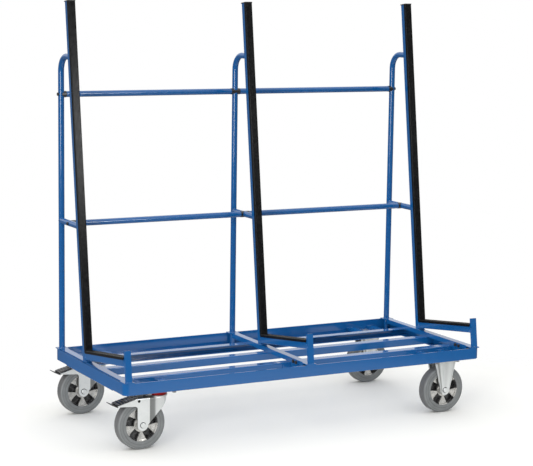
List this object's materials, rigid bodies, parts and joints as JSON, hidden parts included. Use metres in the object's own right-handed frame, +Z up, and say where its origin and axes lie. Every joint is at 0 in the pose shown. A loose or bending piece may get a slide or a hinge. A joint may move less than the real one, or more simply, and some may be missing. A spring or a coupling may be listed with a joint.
{
  "type": "glass panel cart",
  "caption": "Flat steel cart on swivel and fixed casters, with upright racks whose rubber-faced leaning posts and arms carry panes of glass or boards on edge.",
  "frame": {"origin": "centre of the bounding box on the floor", "axes": "+X along the deck from the swivel casters to the fixed ones, +Y from the loading side to the rear posts, +Z up"},
  "size_m": [1.689, 0.735, 1.7317],
  "materials": {
    "blue_paint": "gloss powder coat",
    "black_rubber": "matt",
    "black_plastic": "matt",
    "black_steel": "black oxide",
    "zinc": "bright zinc plate",
    "cast_alloy": "as cast",
    "grey_tyre": "matt",
    "red_seal": "satin"
  },
  "bodies": {
    "cart": {"front_rail": "blue_paint", "rear_rail": "blue_paint", "end_rails": "blue_paint", "deck_bars": "blue_paint", "caster_strips": "blue_paint", "link_tubes": "blue_paint", "stop_bars": "blue_paint", "post_sockets": "blue_paint", "stop_plates": "blue_paint", "rack_brackets": "blue_paint", "cross_rails": "blue_paint", "foot_beam_left": "blue_paint", "rear_post_left": "blue_paint", "lean_post_left": "blue_paint", "arm_left": "blue_paint", "foot_beam_center": "blue_paint", "rear_post_center": "blue_paint", "lean_post_center": "blue_paint", "arm_center": "blue_paint", "foot_beam_right": "blue_paint", "rear_post_right": "blue_paint", "lean_post_right": "blue_paint", "arm_right": "blue_paint", "post_rubbers": "black_rubber", "arm_rubbers": "black_rubber", "post_caps": "black_plastic", "rail_saddles": "black_plastic", "rack_bolts": "black_steel", "rail_screws": "black_steel", "caster_bolts": "zinc", "swivel_plate_front": "zinc", "seal_ring_front": "red_seal", "fixed_housing_front": "zinc", "fixed_axle_front": "zinc", "swivel_plate_rear": "zinc", "seal_ring_rear": "red_seal", "fixed_housing_rear": "zinc", "fixed_axle_rear": "zinc"},
    "fork_front": {"fork_front": "zinc", "swivel_axle_front": "zinc"},
    "pedal_front": {"brake_lever_front": "zinc", "pedal_tread_front": "black_plastic", "brake_shoe_front": "zinc"},
    "swivel_wheel_front": {"swivel_rim_front": "cast_alloy", "swivel_tyre_front": "grey_tyre", "swivel_bearings_front": "zinc"},
    "fixed_wheel_front": {"fixed_rim_front": "cast_alloy", "fixed_tyre_front": "grey_tyre", "fixed_bearings_front": "zinc"},
    "fork_rear": {"fork_rear": "zinc", "swivel_axle_rear": "zinc"},
    "pedal_rear": {"brake_lever_rear": "zinc", "pedal_tread_rear": "black_plastic", "brake_shoe_rear": "zinc"},
    "swivel_wheel_rear": {"swivel_rim_rear": "cast_alloy", "swivel_tyre_rear": "grey_tyre", "swivel_bearings_rear": "zinc"},
    "fixed_wheel_rear": {"fixed_rim_rear": "cast_alloy", "fixed_tyre_rear": "grey_tyre", "fixed_bearings_rear": "zinc"}
  },
  "joints": [
    {"name": "swivel_front", "type": "hinge", "parent": "cart", "child": "fork_front", "pos_m": [-0.63953, -0.308, 0.216], "axis": [0, 0, 1], "continuous": true},
    {"name": "pedal_front", "type": "hinge", "parent": "fork_front", "child": "pedal_front", "pos_m": [-0.73203, -0.308, 0.197], "axis": [0, 1, 0], "range_deg": [0, 12]},
    {"name": "swivel_roll_front", "type": "hinge", "parent": "fork_front", "child": "swivel_wheel_front", "pos_m": [-0.71553, -0.308, 0.1], "axis": [0, 1, 0], "continuous": true},
    {"name": "fixed_roll_front", "type": "hinge", "parent": "cart", "child": "fixed_wheel_front", "pos_m": [0.69147, -0.308, 0.1], "axis": [0, 1, 0], "continuous": true},
    {"name": "swivel_rear", "type": "hinge", "parent": "cart", "child": "fork_rear", "pos_m": [-0.63953, 0.308, 0.216], "axis": [0, 0, 1], "continuous": true},
    {"name": "pedal_rear", "type": "hinge", "parent": "fork_rear", "child": "pedal_rear", "pos_m": [-0.73203, 0.308, 0.197], "axis": [0, 1, 0], "range_deg": [0, 12]},
    {"name": "swivel_roll_rear", "type": "hinge", "parent": "fork_rear", "child": "swivel_wheel_rear", "pos_m": [-0.71553, 0.308, 0.1], "axis": [0, 1, 0], "continuous": true},
    {"name": "fixed_roll_rear", "type": "hinge", "parent": "cart", "child": "fixed_wheel_rear", "pos_m": [0.69147, 0.308, 0.1], "axis": [0, 1, 0], "continuous": true}
  ]
}
